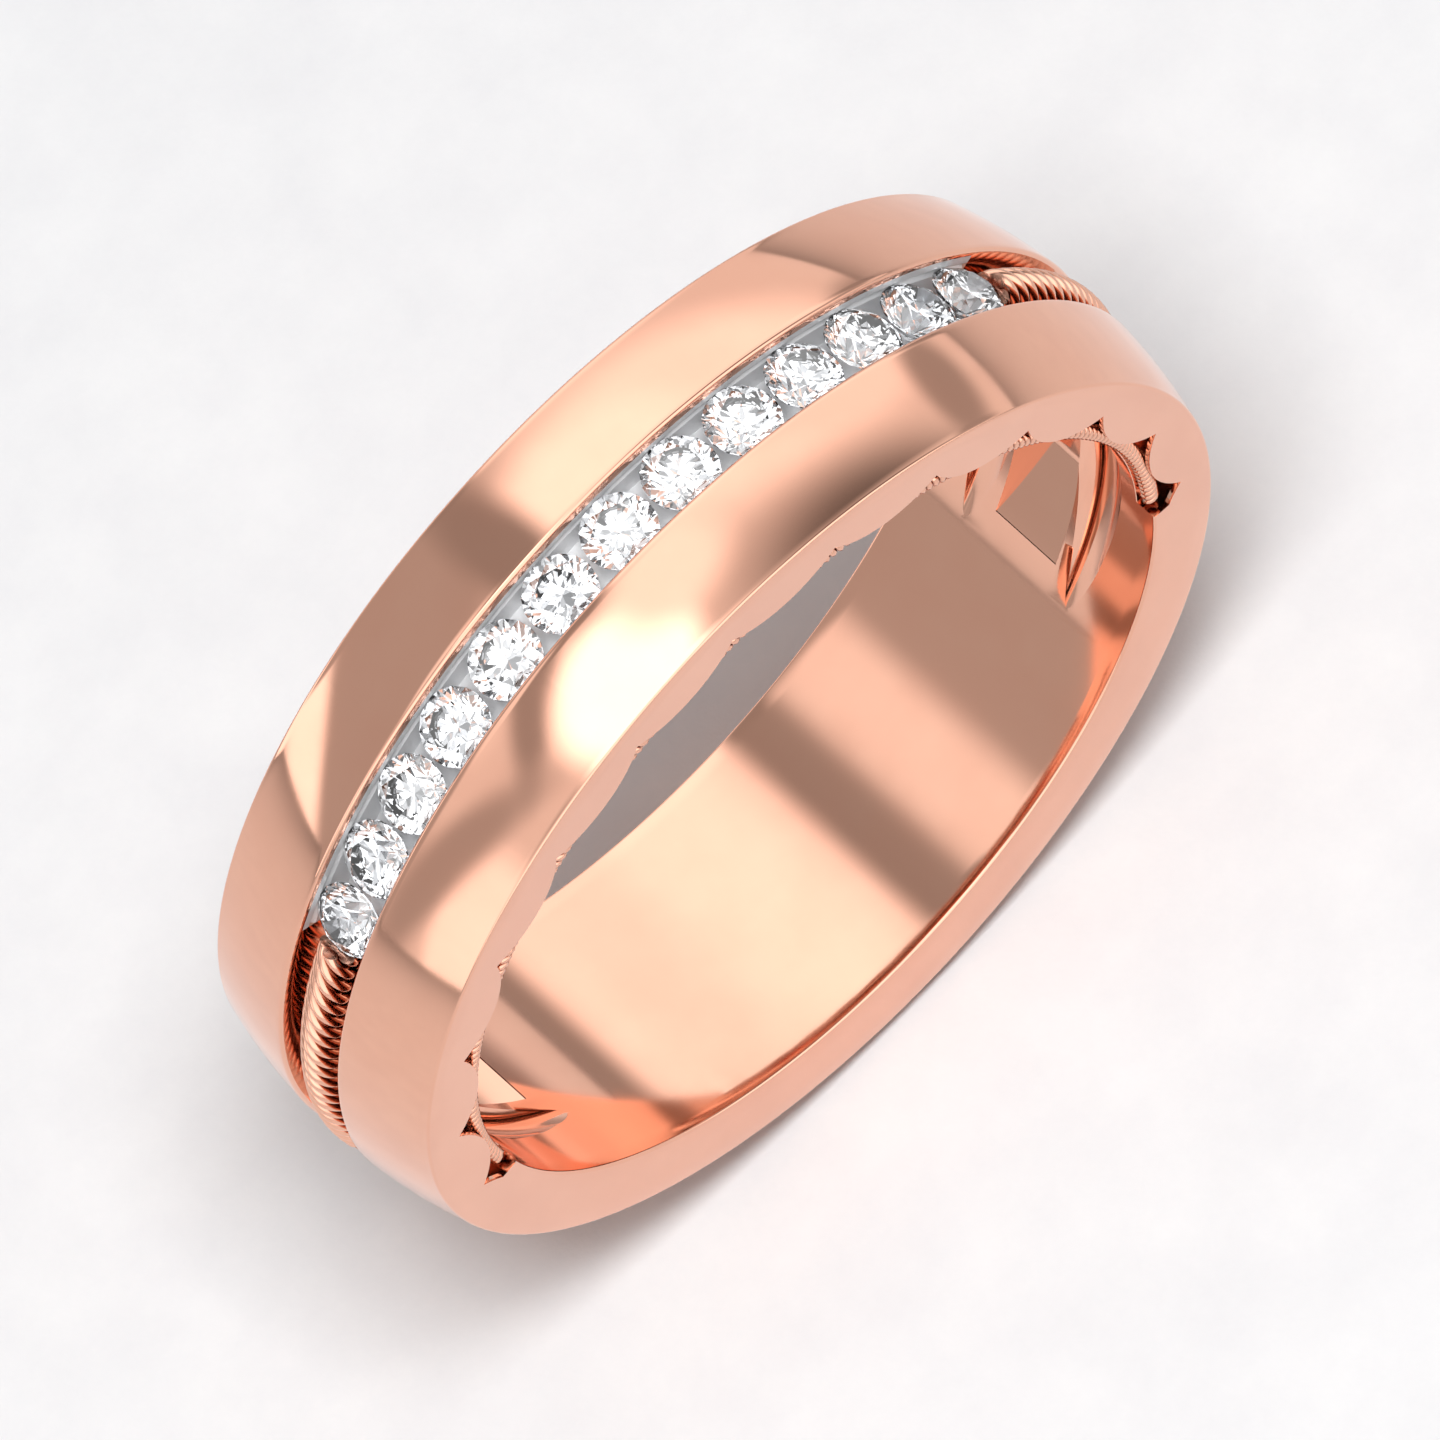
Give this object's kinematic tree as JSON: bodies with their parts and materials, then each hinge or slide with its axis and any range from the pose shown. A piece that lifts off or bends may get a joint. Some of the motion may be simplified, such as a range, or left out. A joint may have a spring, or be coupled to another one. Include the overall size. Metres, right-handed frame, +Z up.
{
  "type": "wedding band",
  "caption": "Domed rose-gold wedding band with a channel-set row of round stones, twisted wire at the shoulders and scalloped wire-edged rims.",
  "frame": {"origin": "centre of the finger hole, halfway between the two side faces", "axes": "+Y along the finger axis towards the back side face, +Z up towards the middle stone of the row, +X to the right as the front side face is looked at"},
  "size_m": [0.0232, 0.0062, 0.0232],
  "materials": {
    "rose_gold": "mirror-polished rose gold",
    "white_gold": "polished white gold",
    "diamond": "polished facets, colourless"
  },
  "bodies": {
    "root": {"band": "rose_gold", "channel_liner": "white_gold", "left_shoulder_rope": "rose_gold", "right_shoulder_rope": "rose_gold", "front_rim_wire": "rose_gold", "back_rim_wire": "rose_gold", "diamond_01": "diamond", "diamond_02": "diamond", "diamond_03": "diamond", "diamond_04": "diamond", "diamond_05": "diamond", "diamond_06": "diamond", "diamond_07": "diamond", "diamond_08": "diamond", "diamond_09": "diamond", "diamond_10": "diamond", "diamond_11": "diamond", "diamond_12": "diamond", "diamond_13": "diamond"}
  },
  "joints": []
}
